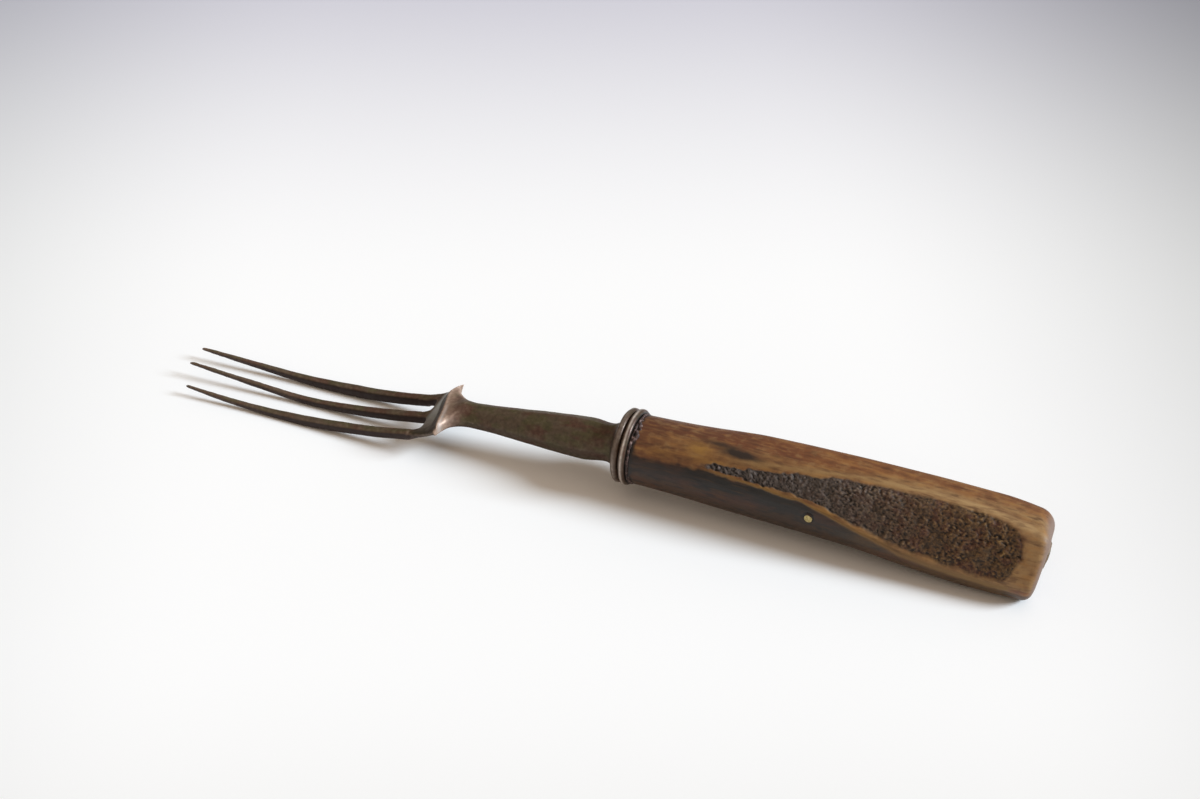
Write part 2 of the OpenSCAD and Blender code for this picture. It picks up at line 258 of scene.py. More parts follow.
floor.data.materials.append(white_table())
bpy.context.scene.view_settings.view_transform = "Standard"
print("table side in mm:", FLOOR_SIZE)

# %% [markdown]
# ## Where the pieces sit
# The collar sits on the tang's line, so the middle of its box gives that line. The tang and the
# handle slope down a little toward the butt. The forging is measured back from the tip of the
# longest tine, as a smith would measure it.

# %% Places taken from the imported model
COLLAR_LEN = 3.6
TILT = math.radians(1.2)
collar_low, collar_high = (np.array(corner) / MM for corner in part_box("bolster_collar"))
tang_way = np.array([math.cos(TILT), 0, -math.sin(TILT)])
collar_front = (collar_low + collar_high) / 2 - COLLAR_LEN / 2 * tang_way
tip_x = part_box("fork_forging")[0][0] / MM
middle_y = collar_front[1]


def on_tang(places):
    """Places measured back from the collar's front face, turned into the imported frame."""
    x, y, z = places.T
    turned = [x * math.cos(TILT) + z * math.sin(TILT), y, z * math.cos(TILT) - x * math.sin(TILT)]
    return collar_front + np.column_stack(turned)


def from_tip(places):
    """Places measured back from the longest tine's tip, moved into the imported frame."""
    return places + [tip_x, middle_y, 0]


print("collar front in mm:", collar_front.round(2), "longest tip at x:", round(tip_x, 2))

# %% [markdown]
# ## Making and finishing a mesh
# Each long part starts as a plain tube or a turned profile, with enough rings to bend. Its points are
# then moved by a formula. A turned profile is spun once round the X axis and merged where it closes.
# When a piece is done, its mesh goes to metres, its faces are made smooth, it gets its material, and
# the imported nodes that it stands for are hidden.

# %% Tube, turned profile and moving points
QUARTER = math.pi / 2


def places_of(bm):
    return np.array([v.co for v in bm.verts])


def move(bm, places):
    """Puts every point of a mesh in a new place."""
    for vertex, place in zip(bm.verts, places):
        vertex.co = place


def tube(sides, steps):
    """A closed tube of radius 1 along X, from 0 to 1, with even rings."""
    bm = bmesh.new()
    lay = Matrix.Translation((0.5, 0, 0)) @ Matrix.Rotation(QUARTER, 4, "Y")
    bmesh.ops.create_cone(
        bm, cap_ends=True, segments=sides, radius1=1, radius2=1, depth=1, matrix=lay
    )
    long_edges = [e for e in bm.edges if abs(e.verts[0].co.x - e.verts[1].co.x) > 0.5]
    bmesh.ops.subdivide_edges(bm, edges=long_edges, cuts=steps - 1)
    return bm


def turned(profile, steps):
    """Spins a closed profile of (x, radius) points once round the X axis."""
    bm = bmesh.new()
    points = [bm.verts.new((x, r, 0)) for x, r in profile]
    rim = [bm.edges.new(pair) for pair in zip(points, points[1:] + points[:1])]
    bmesh.ops.spin(
        bm,
        geom=points + rim,
        cent=(0, 0, 0),
        axis=(1, 0, 0),
        angle=math.tau,
        steps=steps,
        use_merge=True,
    )
    bmesh.ops.remove_doubles(bm, verts=bm.verts, dist=0.0001)
    bmesh.ops.recalc_face_normals(bm, faces=bm.faces)
    return bm


def arc(cx, cr, radius, start, end, steps):
    """Points of a round stretch of a profile. Angles are in degrees from the X axis."""
    turns = [math.radians(mix(start, end, i / steps)) for i in range(steps + 1)]
    return [(cx + radius * math.cos(t), cr + radius * math.sin(t)) for t in turns]


# %% Noise, blur and the height of each point over its surroundings


def noise_at(places, size, seed=0):
    """Soft noise from -1 to 1 whose lumps are about this many millimetres."""
    shift = Vector((seed * 17.3, seed * 5.1, seed * 9.7))
    return np.array([noise.noise(Vector(p) / size + shift) for p in places])


def blurred(values, edges, rounds):
    """Spreads values over a mesh, from each point to its neighbours."""
    a, b = edges.T
    count = len(values)
    share = np.bincount(edges.ravel(), minlength=count)[:, None] + 1
    for _ in range(rounds):
        total = values.copy()
        for axis in range(values.shape[1]):
            total[:, axis] += np.bincount(a, values[b, axis], count)
            total[:, axis] += np.bincount(b, values[a, axis], count)
        values = total / share
    return values


def mesh_arrays(mesh):
    """Places and normals of a mesh's points, and the pairs of points of its edges."""
    places = np.empty(len(mesh.vertices) * 3)
    mesh.vertices.foreach_get("co", places)
    normals = np.empty(len(mesh.vertices) * 3)
    mesh.vertices.foreach_get("normal", normals)
    edges = np.empty(len(mesh.edges) * 2, int)
    mesh.edges.foreach_get("vertices", edges)
    return places.reshape(-1, 3), normals.reshape(-1, 3), edges.reshape(-1, 2)


def height_over(mesh, rounds):
    """How far each point stands out of the blurred surface round it, in millimetres."""
    places, normals, edges = mesh_arrays(mesh)
    return ((places - blurred(places, edges, rounds)) * normals).sum(axis=1)


def note(mesh, name, values):
    """Keeps one number for each point, for a material to read."""
    mesh.attributes.new(name, "FLOAT", "POINT").data.foreach_set("value", values)


def finish_piece(mesh, slot, material, *nodes):
    """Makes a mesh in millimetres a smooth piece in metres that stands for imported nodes."""
    mesh.transform(Matrix.Scale(MM, 4))
    mesh.shade_smooth()
    mesh.materials.clear()
    mesh.materials.append(material)
    piece = bpy.data.objects.new(mesh.name, mesh)
    bpy.context.scene.collection.objects.link(piece)
    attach(piece, "root")
    if nodes:
        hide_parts(*nodes)
    places = mesh_arrays(mesh)[0] / MM
    print(mesh.name, len(mesh.polygons), "faces, mm:", places.min(0).round(2), places.max(0).round(2))


# %% [markdown]
# ## Patinated forged steel
# The blade of an old carbon steel fork is brown-black from years of food acid, with warm rust in the
# hollows. Edges and crests are rubbed bright. The mesh notes how far each point stands out, and the
# material uses that for the rubbed places and for darker hollows. Light and shade are painted in as
# well: the cone behind the crest is pale as painted light, a painted highlight runs along the crest,
# a painted bluish reflection lies on the front of the shoulder, and the sides and the steep front by
# the crest are darkened as painted shade. Its colours are laid one over another, each where a pattern
# or a note lets it through. The oxide skin is part metal and part rough film, so the surface is only
# partly metallic.

# %% Layers of colour, and a note broken up by a pattern
def painted(tree, colour, layers):
    """Lays colours over the first, each by its share, where its mask runs between two values.

    A mask is a pattern's output or the name of a note, and a colour is a hex value or an output.
    """
    for mask, start, full, share, over in layers:
        if isinstance(mask, str):
            mask = add(tree, "ShaderNodeAttribute", attribute_name=mask).outputs["Fac"]
        if isinstance(over, str):
            over = linear(over)
        run = {"Value": mask, "From Min": start, "From Max": full, "To Max": share}
        cover = add(tree, "ShaderNodeMapRange", run).outputs[0]
        sockets = {"Factor": cover, 6: colour, 7: over}
        colour = add(tree, "ShaderNodeMix", sockets, data_type="RGBA").outputs[2]
    return colour


def broken_up(tree, name, pattern, start, full, least, most):
    """A note's value, thinned between two shares as a pattern runs between two values."""
    noted = add(tree, "ShaderNodeAttribute", attribute_name=name).outputs["Fac"]
    run = {"Value": pattern, "From Min": start, "From Max": full, "To Min": least, "To Max": most}
    thinned = add(tree, "ShaderNodeMapRange", run).outputs[0]
    return add(tree, "ShaderNodeMath", {0: noted, 1: thinned}, operation="MULTIPLY").outputs[0]


# %% Material of the forging
OXIDE_METALLIC = 0.35
SHINE_SPREAD = 0.14


def patinated_steel(name, film, rust, olive, shaded_side_colour, rubbed_and_lit, metallic, shine):
    """Brown oxide film on steel: clouds of rust and olive, worn places partly painted light, and
    darker places partly painted shade.
    """
    material, tree, place = new_material(name)
    drawn = add(tree, "ShaderNodeMapping", {0: place, "Scale": (0.4, 1, 1)}).outputs[0]
    moved = {0: place, "Location": (0.3, 0.1, 0.2), "Scale": (0.6, 1, 1)}
    other = add(tree, "ShaderNodeMapping", moved).outputs[0]
    patterns = []
    for source, size, detail in ((drawn, 2.6, 5), (other, 2.2, 5), (place, 0.8, 8), (drawn, 0.25, 5)):
        sockets = {0: source, "Scale": per_mm(size), "Detail": detail}
        patterns.append(add(tree, "ShaderNodeTexNoise", sockets).outputs[0])
    rusty, green, specks, grit = patterns

    layers = [
        (rusty, 0.45, 0.6, 1, rust),
        (green, 0.48, 0.62, 0.8, olive),
        (specks, 0.5, 0.75, 0.4, "241b14"),
        (specks, 0.48, 0.3, 0.25, "7d6f5b"),
        # Painted shade on the sides and undersides.
        ("side", 0, 1, 1, shaded_side_colour),
        # Painted highlight on the front of the shoulder and along the crest.
        ("painted_highlight", 0, 1, 1, "c6d2d9"),
        # Worn steel, with painted light on the forging's cone and painted highlight on the collar's
        # beads.
        (broken_up(tree, "rubbed_and_lit", specks, 0.3, 0.6, 1, 0.65), 0, 1, 1, rubbed_and_lit),
        # Darker places, partly painted shade.
        ("dirt_and_shade", 0, 1, 1, "17120e"),
    ]
    colour = painted(tree, linear(film), layers)
    run = {"Value": specks, "From Min": 0.3, "From Max": 0.7}
    run.update({"To Min": shine, "To Max": shine + SHINE_SPREAD})
    rough = add(tree, "ShaderNodeMapRange", run).outputs[0]
    bump = add(tree, "ShaderNodeBump", {"Height": grit, "Strength": 0.3, "Distance": 0.05 * MM})
    sockets = {"Base Color": colour, "Metallic": metallic, "Roughness": rough}
    sockets["Normal"] = bump.outputs[0]
    return with_shader(material, "ShaderNodeBsdfPrincipled", sockets)


forging_steel = patinated_steel(
    "patinated_forged_steel",
    film="574838",
    rust="55392b",
    olive="504a2e",
    shaded_side_colour="2e1f1b",
    rubbed_and_lit="c2a795",
    metallic=OXIDE_METALLIC,
    shine=0.52,
)
print("nodes in the forging's steel:", len(forging_steel.node_tree.nodes))

# %% [markdown]
# ## The forging
# Tines, shoulder, shank and tang are one piece of steel on the real fork, drawn out under the
# hammer and filed. Here each stretch is a closed shape of its own that runs into the next, and
# a voxel remesh welds them into one skin, so that the tines grow out of the shoulder without a
# seam. Modelling one skin by hand would need many special faces round the gaps.

# %% Numbers of the forging, measured back from the longest tip
TINE_LEN = 58.2
TINE_PITCH = 6.8
TINE_W = 1.8
TINE_D = 2.1
TIP_THICKNESS = 0.6
BELLY_X = 31.2
ROOT_R = 118
BEND_R = 12.5
BEND_LEAD = 0.6
CREST_ANGLE = math.radians(53)
UNDER_ANGLE = math.radians(41)
PLATE_T = 2.1
CREST_T = 1.8
SKEW = math.radians(7)
EAR_FLARE = 0.75
FILLET_LEN = 5.8
SHANK_LEN = 38.4
BOLSTER_Z = 9.5
WAIST_Z = 7.7
outer_y = TINE_PITCH + TINE_W / 2
ear_y = outer_y + EAR_FLARE
gap_r = (TINE_PITCH - TINE_W) / 2
bend_slope = math.asin((TINE_LEN - BELLY_X - BEND_LEAD) / ROOT_R)
bend_x = TINE_LEN - BEND_LEAD - BEND_R * math.sin(bend_slope)
bend_z = ROOT_R * (1 - math.cos(bend_slope)) + BEND_R * math.cos(bend_slope)
crest_x = bend_x + (BEND_R - CREST_T) * math.sin(CREST_ANGLE)
crest_z = bend_z - (BEND_R - CREST_T) * math.cos(CREST_ANGLE)
under_x = bend_x + BEND_R * math.sin(UNDER_ANGLE)
under_z = bend_z - BEND_R * math.cos(UNDER_ANGLE)
collar_x = crest_x + SHANK_LEN
print("crest at", round(crest_x, 2), round(crest_z, 2), "collar at", round(collar_x, 2))


def slant(y):
    """How far back the shoulder stands on the near side."""
    return -y * math.tan(SKEW)


def crest_bow(y):
    """How far the crest bows to the front beyond the middle, and sweeps back at both ears."""
    t = y / ear_y
    return -0.75 - 1.39 * t - 1.04 * t**2 + 1.51 * t**3 + 2.32 * t**4


def rise(d, r):
    """Height of a circle over its lowest point."""
    return r - np.sqrt(r * r - d * d)


# %% The three tines
PLATE_START = 3.4
SECTION_POWER = 5
BELLY_POWER = 2.8
ROOT_LIFT = 0.12
GAP_END = 1.5
GAP_CORNER = 1.9
PLATE_INSET = 0.3
LIP_START = 0.68
NEAR_LIP = 1.5
FAR_LIP = 1.0
NEAR_SAG = 0.4
TIP_ROUND = 0.9
LIFT_RUN = 20
ROOT_RUN = 12


def tine(middle, tip_r, bend_len, wear, depth, taper, lift):
    """One tapered tine, square above and rounder below: straight, then bent up from its belly."""
    bm = tube(16, 150)
    u, c, s = places_of(bm).T
    power = np.where(s > 0, SECTION_POWER, BELLY_POWER)
    corner = (abs(c) ** power + abs(s) ** power) ** (-1 / power)
    x = mix(TINE_LEN + slant(middle) - PLATE_START / 2, wear, u)
    size = mix(TIP_THICKNESS / TINE_D, 1, np.minimum(1, (x - wear) / taper))
    size = size * mix(0.55, 1, np.sqrt(np.clip((x - wear) / TIP_ROUND, 0, 1)))
    ahead = np.maximum(0, BELLY_X - x)
    slope = bend_len / math.sqrt(tip_r**2 - bend_len**2)
    tip = rise(np.minimum(ahead, bend_len), tip_r) + slope * np.maximum(0, ahead - bend_len)
    curve = tip + rise(np.maximum(0, x - BELLY_X), ROOT_R)
    curve = curve + lift * smooth((TINE_LEN - x) / LIFT_RUN)
    y = middle + TINE_W / 2 * size * c * corner
    z = curve + depth / 2 * size * (1 + s * corner)
    z = z + (TINE_D + ROOT_LIFT - depth) * smooth((x - BELLY_X) / ROOT_RUN)
    move(bm, np.column_stack([x, y, z]))
    return bm


# %% The shoulder plate, bent up behind the tines
def shoulder():
    """A bent plate whose front edge runs round the ends of the two gaps."""
    bm = bmesh.new()
    bmesh.ops.create_cube(bm, size=2)
    for axis, cuts in ((0, 24), (1, 90)):
        across = [e for e in bm.edges if abs(e.verts[0].co[axis] - e.verts[1].co[axis]) > 1]
        bmesh.ops.subdivide_edges(bm, edges=across, cuts=cuts, use_grid_fill=True)
    s, v, w = places_of(bm).T
    to_gap = abs(abs(v * outer_y) - TINE_PITCH / 2)
    corner = 1 - np.clip(1 - (to_gap / gap_r) ** 3, 0, 1) ** (1 / 3)
    round_end = GAP_END - GAP_CORNER * corner
    front = np.where(to_gap < gap_r, round_end, -PLATE_START)
    bend_run = BEND_R * (UNDER_ANGLE - bend_slope)
    run = mix(front, bend_run, (s + 1) / 2)
    t = np.clip(run / bend_run, 0, 1)
    ahead = np.minimum(run, 0)
    inset = PLATE_INSET * smooth(1 - (run + PLATE_START) / (PLATE_START + 2))
    y = v * (outer_y + EAR_FLARE * t * t - inset)
    low = mix(bend_slope, UNDER_ANGLE, t)
    high = mix(bend_slope, CREST_ANGLE, t)
    lip = np.clip((abs(v) - LIP_START) / (1 - LIP_START), 0, 1)
    lift = np.where(v < 0, NEAR_LIP, FAR_LIP) * (1 - np.sqrt(1 - 0.98 * lip**2))
    lift = lift + NEAR_SAG * smooth((-v - 0.4) / 0.4)
    lift = lift * mix(0.15, 1, smooth((run + 1.6) / 3.4))
    outside, inside = BEND_R - inset - lift, BEND_R - mix(PLATE_T, CREST_T, t) + inset
    share = (w + 1) / 2
    x = bend_x + mix(outside * np.sin(low), inside * np.sin(high), share)
    z = bend_z - mix(outside * np.cos(low), inside * np.cos(high), share)
    x = x + ahead * math.cos(bend_slope) + slant(y) + t * t * crest_bow(y)
    z = z + ahead * math.sin(bend_slope)
    move(bm, np.column_stack([x, y, z]))
    return bm


# %% The shank, from the hollow behind the crest to its flare at the collar
SHANK_SIDES = 48
FILLET_SHARE = 0.3
FLARE_SHARE = 0.9
WAIST_D = 5.2
SWELL_D = 8.7
SWELL_BACK = 7.4
NECK_D = 7.8
NECK_FLARE_D = 11.8
FLARE_LEN = 2.8
SHANK_SAG = 0.15
FACET = 0.75
EIGHTH = math.tau / 8


def shank():
    """An oval fillet that narrows into an eight-sided shank."""
    bm = tube(SHANK_SIDES, 110)
    u, c, s = places_of(bm).T
    angle = np.arctan2(s, c)
    end_x = crest_x + FILLET_LEN
    flare_x = collar_x - FLARE_LEN
    slope = math.atan((BOLSTER_Z - WAIST_Z) / (SHANK_LEN - FILLET_LEN))
    stem_end = BOLSTER_Z - FLARE_LEN * math.tan(slope)
    lean = math.atan2(under_x - crest_x, crest_z - under_z)
    root_h = math.hypot(crest_x - under_x, crest_z - under_z) / 2 - 0.15

    hollow = np.clip(u / FILLET_SHARE, 0, 1) ** 1.3
    stem = np.clip((u - FILLET_SHARE) / (FLARE_SHARE - FILLET_SHARE), 0, 1)
    flare = np.clip((u - FLARE_SHARE) / (1 - FLARE_SHARE), 0, 1)
    fullness = mix(2.75, 2.2, smooth(0.3 - s))
    narrow = (1 - hollow**1.35) ** (fullness + 0.4)

    x = mix((crest_x + under_x) / 2 - 0.5, end_x, hollow)
    x = x + (flare_x - end_x) * stem + FLARE_LEN * flare
    z = mix((crest_z + under_z) / 2 - 0.1, WAIST_Z, smooth(hollow * 1.3))
    z = z + (stem_end - WAIST_Z) * stem + (BOLSTER_Z - stem_end) * flare
    z = z - SHANK_SAG * smooth(stem) * (1 - flare)
    turn = mix(lean, slope, smooth(hollow * 1.4)) - (slope + TILT) * flare

    to_swell = collar_x - SWELL_BACK - end_x
    behind = np.clip((x - collar_x + SWELL_BACK) / (SWELL_BACK - FLARE_LEN), 0, 1)
    growth = np.clip((x - end_x) / to_swell, 0, 1)
    half = mix(WAIST_D, SWELL_D, mix(smooth(growth), growth, 0.5)) / 2
    half = half - (SWELL_D - NECK_D) / 2 * smooth(behind)
    half = half + (NECK_FLARE_D - NECK_D) / 2 * (1 - np.sqrt(1 - flare**2))
    half_w = mix(half, ear_y - 0.12, narrow)
    half_h = mix(root_h, half, smooth(hollow * 1.25))

    facet = FACET * smooth(2 * hollow - 1) * (1 - flare)
    flat = math.cos(EIGHTH / 2) / np.cos(angle % EIGHTH - EIGHTH / 2)
    sharp_for = mix(2.6, 1.4, smooth(c + 0.2) * smooth(s + 0.3))
    square = mix(2, 4, smooth(1 - sharp_for * hollow))
    boxy = (abs(c) ** square + abs(s) ** square) ** (-1 / square)
    flat = mix(1, flat, facet) * boxy
    y = half_w * c * flat
    h = half_h * s * flat
    x = x + narrow * (slant(y) + crest_bow(y))
    places = [x - h * np.sin(turn), y, z + h * np.cos(turn)]
    move(bm, np.column_stack(places))
    return bm


# %% The tang inside the handle, and its riveted head on the rove
BED_T = 0.6
HANDLE_LEN = 82.5
BORE_DEPTH = 60
TAIL_R = 1.4
RAKE = math.radians(11)
BUTT_SKEW = math.radians(6)
ROVE_T = 0.45
RIVET_R = 2.0
RIVET_H = 0.25
ON_AXIS = 0.05
handle_x = COLLAR_LEN + BED_T
butt_x = handle_x + HANDLE_LEN
bore_end = handle_x + BORE_DEPTH
butt_turn = Matrix.Rotation(BUTT_SKEW, 3, "Z") @ Matrix.Rotation(
    math.atan(math.tan(RAKE) * math.cos(BUTT_SKEW)), 3, "Y"
)


def on_butt(places):
    """Places measured out from the slanting butt face, along the tang's line."""
    return places @ np.array(butt_turn).T + [butt_x, 0, 0]


def square_tang():
    bm = tube(4, 1)
    u, c, s = places_of(bm).T
    half = mix(2.2, 1.6, u)
    x = mix(COLLAR_LEN - 0.2, bore_end - 0.2, u)
    move(bm, np.column_stack([x, half * (c - s), half * (c + s)]))
    return bm


def rivet_head():
    """A low dome, hammered a little flat, over the end of the tang's tail."""
    ball_r = (RIVET_R**2 + RIVET_H**2) / (2 * RIVET_H)
    edge = math.degrees(math.asin(RIVET_R / ball_r))
    dome = arc(ROVE_T + RIVET_H - ball_r, 0, ball_r, edge, 1, 10)
    bm = turned([(ROVE_T - 0.1, ON_AXIS), (ROVE_T - 0.1, RIVET_R)] + dome, 40)
    move(bm, on_butt(places_of(bm)))
    return bm


# %% Weld the forging and roughen it as the hammer left it
# The voxels are as fine as a limit of 200,000 triangles for one piece allows.
VOXEL = 0.168
SMOOTHINGS = 6
SWELL = 0.09


def joined(parts, placed):
    """One mesh from several closed shapes, each put in place first."""
    mesh = bpy.data.meshes.new("shapes")
    whole = bmesh.new()
    for part in parts:
        move(part, placed(places_of(part)))
        bmesh.ops.recalc_face_normals(part, faces=part.faces)
        part.to_mesh(mesh)
        part.free()
        whole.from_mesh(mesh)
    whole.to_mesh(mesh)
    whole.free()
    return mesh


def welded(mesh, voxel):
    """One skin round overlapping closed shapes."""
    holder = bpy.data.objects.new("holder", mesh)
    bpy.context.scene.collection.objects.link(holder)
    weld = holder.modifiers.new("weld", "REMESH")
    weld.mode = "VOXEL"
    weld.voxel_size = voxel
    ready = holder.evaluated_get(bpy.context.evaluated_depsgraph_get())
    skin = bpy.data.meshes.new_from_object(ready)
    bpy.data.objects.remove(holder)
    return skin


tines = [
    tine(-TINE_PITCH, tip_r=175, bend_len=28, wear=4.2, depth=1.95, taper=30, lift=0),
    tine(0, tip_r=60, bend_len=6.4, wear=1.2, depth=2.15, taper=48, lift=0.2),
    tine(TINE_PITCH, tip_r=125, bend_len=10.8, wear=0, depth=2.4, taper=38, lift=0.12),
]
skin = welded(joined(tines + [shoulder(), shank()], from_tip), VOXEL)
bm = bmesh.new()
bm.from_mesh(skin)
for _ in range(SMOOTHINGS):
    bmesh.ops.smooth_vert(
        bm, verts=bm.verts, factor=0.5, use_axis_x=True, use_axis_y=True, use_axis_z=True
    )
bm.to_mesh(skin)
bm.free()
places, normals, _ = mesh_arrays(skin)
hammered = SWELL + 0.05 * noise_at(places, 3.2) + 0.015 * noise_at(places, 0.8, seed=1)
places = places + normals * hammered[:, None]
places[:, 2] = np.maximum(places[:, 2], 0)
skin.vertices.foreach_set("co", places.ravel())
skin.update()
places, normals, _ = mesh_arrays(skin)
standing = height_over(skin, 14)
print("forging skin:", len(skin.polygons), "faces, standing out:", np.ptp(standing).round(3), "mm")

# %% Where the forging is worn or darker, and where light and shade are painted on it
def hump(t):
    """A soft bump: 1 in its middle, and about a third at a distance of 1."""
    return np.exp(-(t**2))


back = places[:, 0] - tip_x
across = places[:, 1] - middle_y
facing_back, _, facing_up = normals.T
crest_line = crest_x + slant(across) + crest_bow(across)
behind_crest = back - crest_line
on_stem = smooth((back - TINE_LEN) / 4)
at_shoulder = smooth((back - TINE_LEN + 1) / 1.5) * smooth((crest_line + 8 - back) / 4)
lit_cone = smooth((facing_up + 0.75) / 0.5) * smooth((behind_crest + 0.6) / 0.5)
on_edges = smooth((standing - 0.03) / 0.05) * smooth((behind_crest + 1.2) / 0.5)
# Pale steel: on the cone behind the crest, except its underside, it is painted light; on edges,
# crests and tips it is wear.
rubbed_and_lit = 0.2 * smooth((6.5 - behind_crest) / 5) + 0.6 * smooth((3.2 - behind_crest) / 3)
rubbed_and_lit = rubbed_and_lit * lit_cone + on_edges * at_shoulder
rubbed_and_lit = rubbed_and_lit + 0.3 * smooth((3 - back) / 3) + 0.12 * smooth((standing - 0.05) / 0.05)
# The sides and undersides are darkened by the way they face: painted shade.
side = smooth((0.62 - facing_up) / 0.5) * (1 - on_stem)
side = side + 0.5 * smooth((0.3 - facing_up) / 1.0) * on_stem
# The steep front of the shoulder next to the crest faces away from the window; its dark band is
# painted shade.
by_crest = smooth((behind_crest + 2.0) / 0.6) + smooth((-across - 4) / 4)
faces_front = smooth((-0.16 - facing_back) / 0.15) * smooth((-0.2 - behind_crest) / 0.2)
faces_front = faces_front * at_shoulder
steep = np.minimum(1, by_crest) * faces_front
# Painted highlight: a pale bluish band of reflected light over the front of the shoulder, and a pale
# line along the crest.
painted_highlight = (0.2 + 0.42 * smooth((across + 5) / 8)) * smooth((back - TINE_LEN - 0.2) / 1.2)
painted_highlight = painted_highlight * faces_front * (1 - steep)
painted_highlight = painted_highlight + 0.6 * hump((behind_crest - 0.3) / 0.4) * smooth((1 - across) / 3) * lit_cone
# Darker in hollows, on the steep front as painted shade, and where the shank enters the collar.
dirt_and_shade = 0.55 * smooth((-0.02 - standing) / 0.05) * (1 - lit_cone) * (1 - at_shoulder)
dirt_and_shade = dirt_and_shade + 0.65 * steep
dirt_and_shade = dirt_and_shade + 0.6 * smooth((back - collar_x + 1.2) / 1.0)
print("share of the skin that is well rubbed:", np.mean(rubbed_and_lit > 0.5).round(3))

# %% Join the hidden tang to the skin
TANG_ROOT_R = 3.2
tail_ends = (bore_end - 2, butt_x + ROVE_T)
root_ends = (-1, COLLAR_LEN)
rods = []
for (start, end), r in ((tail_ends, TAIL_R), (root_ends, TANG_ROOT_R)):
    rods.append(turned([(start, ON_AXIS), (start, r), (end, r), (end, ON_AXIS)], 32))
inner = joined([square_tang(), *rods, rivet_head()], on_tang)
whole = bmesh.new()
whole.from_mesh(skin)
whole.from_mesh(inner)
forging = as_mesh(whole, "steel_forging")
hidden = np.zeros(len(forging.vertices) - len(places))
for name, values in (("rubbed_and_lit", rubbed_and_lit), ("side", side), ("painted_highlight", painted_highlight), ("dirt_and_shade", dirt_and_shade)):
    note(forging, name, np.append(np.clip(values, 0, 1), hidden))
finish_piece(forging, "forged_steel", forging_steel, "fork_forging")

# %% [markdown]
# ## The collar
# The collar is a turned steel ring with two round beads and a groove between them, so it is a profile
# spun round the tang. Its beads are worn where hands hold them, and the pale lines on their crowns
# and lower front edges are partly painted highlight.

# %% Spin the collar
COLLAR_HOLE_R = 3.25
FRONT_BEAD = (1.13, 6.93, 0.76)
REAR_BEAD = (2.82, 7.08, 0.78)
GROOVE = (2.0, 6.92)
COLLAR_LIFT = 0.14


def collar_profile():
    """A coned front, two beads of slightly different size and a narrow groove."""
    profile = [(0, COLLAR_HOLE_R), (0, 5.6), (0.33, 6.5)]
    profile += arc(*FRONT_BEAD, 168, 14, 18)
    profile += [GROOVE]
    profile += arc(*REAR_BEAD, 160, 0, 18)
    return profile + [(REAR_BEAD[0] + REAR_BEAD[2], COLLAR_HOLE_R)]


collar_steel = patinated_steel(
    "rubbed_turned_steel",
    film="4d392b",
    rust="4b2f23",
    olive="433828",
    shaded_side_colour="3d3027",
    rubbed_and_lit="f0e4da",
    metallic=OXIDE_METALLIC,
    shine=0.34,
)
bm = turned(collar_profile(), 240)
places = places_of(bm)
x, y, z = places.T
radius = np.hypot(y, z)
outer = smooth((radius - 6) / 0.8)
dents = 0.08 * noise_at(places, 3.5, seed=2) + 0.035 * noise_at(places, 1.1, seed=3)
grow = 1 + (dents - 0.05) * outer / radius
shaken = x + 0.06 * noise_at(places, 4, seed=16) * outer
move(bm, on_tang(np.column_stack([shaken, y * grow, z * grow + COLLAR_LIFT * outer])))
collar = as_mesh(bm, "steel_collar")
# The crowns of the beads and the lower front edges are pale: partly wear, partly painted highlight.
rear_crown = hump((x - REAR_BEAD[0] + 0.05) / 0.22) * smooth((radius - 7.4) / 0.3)
front_crown = hump((x - 1.0) / 0.35) * smooth((radius - 7.2) / 0.3)
front_edges = hump((x - 0.5) / 0.13) + hump((x - 2.22) / 0.12)
front_edges = front_edges * smooth((-0.25 - z / radius) / 0.3) * smooth((radius - 6.9) / 0.2)
patchy = 0.75 + 0.5 * noise_at(places, 2.2, seed=17)
rubbed_and_lit = (rear_crown + 0.25 * front_crown + 0.3 * front_edges) * patchy
# Darker in the groove and at the back of the collar.
in_groove = hump((x - GROOVE[0]) / 0.2) * smooth((7.35 - radius) / 0.2)
note(collar, "rubbed_and_lit", np.clip(rubbed_and_lit, 0, 1))
note(collar, "dirt_and_shade", np.clip(in_groove + smooth((x - 3.35) / 0.25), 0, 1))
finish_piece(collar, "collar_steel", collar_steel, "bolster_collar")

# %% [markdown]
# ## Cutler's cement
# The tang was set hot in a dark resin cement. What squeezed out of the joint stayed as a crusty
# bead between collar and handle, with grey specks of filler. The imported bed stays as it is, and
# a lumpy ring is laid over its edge.

# %% Lay the crust of cement
def resin_cement():
    """Dark brittle resin with brick dust and pale specks: matt, with a broken surface."""
    material, tree, place = new_material("dark_resin_cement")
    lumps = add(tree, "ShaderNodeTexNoise", {0: place, "Scale": per_mm(0.7), "Detail": 6})
    browns = {0.36: "17100e", 0.48: "3a2722", 0.6: "5e4a47", 0.74: "a08a84"}
    stops = [(share, linear(brown)) for share, brown in browns.items()]
    colour = add(tree, "ShaderNodeValToRGB", {"Fac": lumps.outputs[0]}, stops=stops)
    relief = {"Height": lumps.outputs[0], "Strength": 0.8, "Distance": 0.2 * MM}
    bump = add(tree, "ShaderNodeBump", relief).outputs[0]
    sockets = {"Base Color": colour.outputs[0], "Roughness": 0.7, "Normal": bump}
    return with_shader(material, "ShaderNodeBsdfPrincipled", sockets)


cement = resin_cement()
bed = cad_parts["tang_cement"]
bed.data.materials.clear()
bed.data.materials.append(cement)

CRUST_R = 6.72
CRUST_X = COLLAR_LEN + 0.3
CRUST_THICK = 0.58


